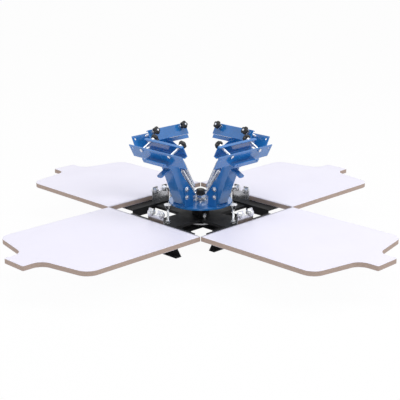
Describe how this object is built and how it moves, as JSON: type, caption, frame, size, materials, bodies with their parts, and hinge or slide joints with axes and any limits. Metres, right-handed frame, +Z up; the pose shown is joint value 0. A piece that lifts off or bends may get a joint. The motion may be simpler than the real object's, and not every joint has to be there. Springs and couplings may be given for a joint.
{
  "type": "tabletop screen printing press",
  "caption": "Bench screen printing press: shirt pallets on a turning cross, and above them a turning head of spring-raised arms with screen clamps, on a folded pedestal.",
  "frame": {"origin": "on the floor under the vertical axis that both carousels turn about", "axes": "+Z up along the king post; +X along station 1's pallet and arm, +Y along station 2's"},
  "size_m": [1.56, 1.56, 0.4041],
  "materials": {
    "blue_paint": "gloss powder coat",
    "black_paint": "satin",
    "laminate": "white laminate on board",
    "steel": "machined",
    "zinc_plate": "bright zinc plate",
    "black_plastic": "moulded"
  },
  "bodies": {
    "base": {"base_strap_long": "black_paint", "base_strap_short": "black_paint", "king_post": "steel", "index_plate": "steel", "thrust_bearing_lower": "steel", "thrust_bearing_upper": "steel", "post_nut": "zinc_plate", "post_cap": "black_plastic"},
    "pallet_carousel": {"pallet_cross": "black_paint", "pallet_bracket_1": "black_paint", "pallet_1": "laminate", "stop_bolt_1": "zinc_plate", "pallet_bracket_2": "black_paint", "pallet_2": "laminate", "stop_bolt_2": "zinc_plate", "pallet_bracket_3": "black_paint", "pallet_3": "laminate", "stop_bolt_3": "zinc_plate", "pallet_bracket_4": "black_paint", "pallet_4": "laminate", "stop_bolt_4": "zinc_plate"},
    "head_carousel": {"head_hub": "steel", "head_disc": "blue_paint", "arm_bracket_1": "blue_paint", "pivot_bolt_1": "zinc_plate", "arm_bracket_2": "blue_paint", "pivot_bolt_2": "zinc_plate", "arm_bracket_3": "blue_paint", "pivot_bolt_3": "zinc_plate", "arm_bracket_4": "blue_paint", "pivot_bolt_4": "zinc_plate"},
    "index_pin": {"index_pin": "zinc_plate"},
    "roller_1a": {"roller_1a": "zinc_plate"},
    "roller_1b": {"roller_1b": "zinc_plate"},
    "arm_1": {"arm_1": "blue_paint", "spring_1": "zinc_plate"},
    "jaw_1": {"jaw_1": "blue_paint"},
    "knob_1a": {"knob_1a": "black_plastic"},
    "knob_1b": {"knob_1b": "black_plastic"},
    "roller_2a": {"roller_2a": "zinc_plate"},
    "roller_2b": {"roller_2b": "zinc_plate"},
    "arm_2": {"arm_2": "blue_paint", "spring_2": "zinc_plate"},
    "jaw_2": {"jaw_2": "blue_paint"},
    "knob_2a": {"knob_2a": "black_plastic"},
    "knob_2b": {"knob_2b": "black_plastic"},
    "roller_3a": {"roller_3a": "zinc_plate"},
    "roller_3b": {"roller_3b": "zinc_plate"},
    "arm_3": {"arm_3": "blue_paint", "spring_3": "zinc_plate"},
    "jaw_3": {"jaw_3": "blue_paint"},
    "knob_3a": {"knob_3a": "black_plastic"},
    "knob_3b": {"knob_3b": "black_plastic"},
    "roller_4a": {"roller_4a": "zinc_plate"},
    "roller_4b": {"roller_4b": "zinc_plate"},
    "arm_4": {"arm_4": "blue_paint", "spring_4": "zinc_plate"},
    "jaw_4": {"jaw_4": "blue_paint"},
    "knob_4a": {"knob_4a": "black_plastic"},
    "knob_4b": {"knob_4b": "black_plastic"}
  },
  "joints": [
    {"name": "pallet_turn", "type": "hinge", "parent": "base", "child": "pallet_carousel", "pos_m": [0, 0, 0.1], "axis": [0, 0, 1], "continuous": true},
    {"name": "head_turn", "type": "hinge", "parent": "base", "child": "head_carousel", "pos_m": [0, 0, 0.15], "axis": [0, 0, 1], "continuous": true},
    {"name": "index_pin_slide", "type": "slide", "parent": "pallet_carousel", "child": "index_pin", "axis": [0, 0, 1], "range_m": [-0.006, 0]},
    {"name": "roller_spin_1a", "type": "hinge", "parent": "pallet_carousel", "child": "roller_1a", "pos_m": [0.216, -0.0228, 0.151], "axis": [1, 0, 0], "continuous": true},
    {"name": "roller_spin_1b", "type": "hinge", "parent": "pallet_carousel", "child": "roller_1b", "pos_m": [0.216, 0.0228, 0.151], "axis": [1, 0, 0], "continuous": true},
    {"name": "arm_swing_1", "type": "hinge", "parent": "head_carousel", "child": "arm_1", "pos_m": [0.094, 0, 0.19], "axis": [0, 1, 0], "range_deg": [0, 62.5], "stiffness_Nm_per_rad": 1, "springref_deg": -114.59, "deforming": ["spring_1"]},
    {"name": "jaw_slide_1", "type": "slide", "parent": "arm_1", "child": "jaw_1", "axis": [-0.887, 0, 0.4617], "range_m": [-0.024, 0]},
    {"name": "knob_spin_1a", "type": "hinge", "parent": "jaw_1", "child": "knob_1a", "pos_m": [0.15202, -0.0665, 0.38809], "axis": [-0.887, 0, 0.4617], "range_deg": [-5765, 0]},
    {"name": "knob_spin_1b", "type": "hinge", "parent": "jaw_1", "child": "knob_1b", "pos_m": [0.15202, 0.0665, 0.38809], "axis": [-0.887, 0, 0.4617], "range_deg": [-5765, 0]},
    {"name": "roller_spin_2a", "type": "hinge", "parent": "pallet_carousel", "child": "roller_2a", "pos_m": [0.0228, 0.216, 0.151], "axis": [0, 1, 0], "continuous": true},
    {"name": "roller_spin_2b", "type": "hinge", "parent": "pallet_carousel", "child": "roller_2b", "pos_m": [-0.0228, 0.216, 0.151], "axis": [0, 1, 0], "continuous": true},
    {"name": "arm_swing_2", "type": "hinge", "parent": "head_carousel", "child": "arm_2", "pos_m": [0, 0.094, 0.19], "axis": [-1, 0, 0], "range_deg": [0, 62.5], "stiffness_Nm_per_rad": 1, "springref_deg": -114.59, "deforming": ["spring_2"]},
    {"name": "jaw_slide_2", "type": "slide", "parent": "arm_2", "child": "jaw_2", "axis": [0, -0.887, 0.4617], "range_m": [-0.024, 0]},
    {"name": "knob_spin_2a", "type": "hinge", "parent": "jaw_2", "child": "knob_2a", "pos_m": [0.0665, 0.15202, 0.38809], "axis": [0, -0.887, 0.4617], "range_deg": [-5765, 0]},
    {"name": "knob_spin_2b", "type": "hinge", "parent": "jaw_2", "child": "knob_2b", "pos_m": [-0.0665, 0.15202, 0.38809], "axis": [0, -0.887, 0.4617], "range_deg": [-5765, 0]},
    {"name": "roller_spin_3a", "type": "hinge", "parent": "pallet_carousel", "child": "roller_3a", "pos_m": [-0.216, 0.0228, 0.151], "axis": [-1, 0, 0], "continuous": true},
    {"name": "roller_spin_3b", "type": "hinge", "parent": "pallet_carousel", "child": "roller_3b", "pos_m": [-0.216, -0.0228, 0.151], "axis": [-1, 0, 0], "continuous": true},
    {"name": "arm_swing_3", "type": "hinge", "parent": "head_carousel", "child": "arm_3", "pos_m": [-0.094, 0, 0.19], "axis": [0, -1, 0], "range_deg": [0, 62.5], "stiffness_Nm_per_rad": 1, "springref_deg": -114.59, "deforming": ["spring_3"]},
    {"name": "jaw_slide_3", "type": "slide", "parent": "arm_3", "child": "jaw_3", "axis": [0.887, 0, 0.4617], "range_m": [-0.024, 0]},
    {"name": "knob_spin_3a", "type": "hinge", "parent": "jaw_3", "child": "knob_3a", "pos_m": [-0.15202, 0.0665, 0.38809], "axis": [0.887, 0, 0.4617], "range_deg": [-5765, 0]},
    {"name": "knob_spin_3b", "type": "hinge", "parent": "jaw_3", "child": "knob_3b", "pos_m": [-0.15202, -0.0665, 0.38809], "axis": [0.887, 0, 0.4617], "range_deg": [-5765, 0]},
    {"name": "roller_spin_4a", "type": "hinge", "parent": "pallet_carousel", "child": "roller_4a", "pos_m": [-0.0228, -0.216, 0.151], "axis": [0, -1, 0], "continuous": true},
    {"name": "roller_spin_4b", "type": "hinge", "parent": "pallet_carousel", "child": "roller_4b", "pos_m": [0.0228, -0.216, 0.151], "axis": [0, -1, 0], "continuous": true},
    {"name": "arm_swing_4", "type": "hinge", "parent": "head_carousel", "child": "arm_4", "pos_m": [0, -0.094, 0.19], "axis": [1, 0, 0], "range_deg": [0, 62.5], "stiffness_Nm_per_rad": 1, "springref_deg": -114.59, "deforming": ["spring_4"]},
    {"name": "jaw_slide_4", "type": "slide", "parent": "arm_4", "child": "jaw_4", "axis": [0, 0.887, 0.4617], "range_m": [-0.024, 0]},
    {"name": "knob_spin_4a", "type": "hinge", "parent": "jaw_4", "child": "knob_4a", "pos_m": [-0.0665, -0.15202, 0.38809], "axis": [0, 0.887, 0.4617], "range_deg": [-5765, 0]},
    {"name": "knob_spin_4b", "type": "hinge", "parent": "jaw_4", "child": "knob_4b", "pos_m": [0.0665, -0.15202, 0.38809], "axis": [0, 0.887, 0.4617], "range_deg": [-5765, 0]}
  ],
  "couplings": [
    {"joint": "knob_spin_1a", "follows": "jaw_slide_1", "rad_per_m": 4188.8},
    {"joint": "knob_spin_1b", "follows": "jaw_slide_1", "rad_per_m": 4188.8},
    {"joint": "knob_spin_2a", "follows": "jaw_slide_2", "rad_per_m": 4188.8},
    {"joint": "knob_spin_2b", "follows": "jaw_slide_2", "rad_per_m": 4188.8},
    {"joint": "knob_spin_3a", "follows": "jaw_slide_3", "rad_per_m": 4188.8},
    {"joint": "knob_spin_3b", "follows": "jaw_slide_3", "rad_per_m": 4188.8},
    {"joint": "knob_spin_4a", "follows": "jaw_slide_4", "rad_per_m": 4188.8},
    {"joint": "knob_spin_4b", "follows": "jaw_slide_4", "rad_per_m": 4188.8}
  ]
}
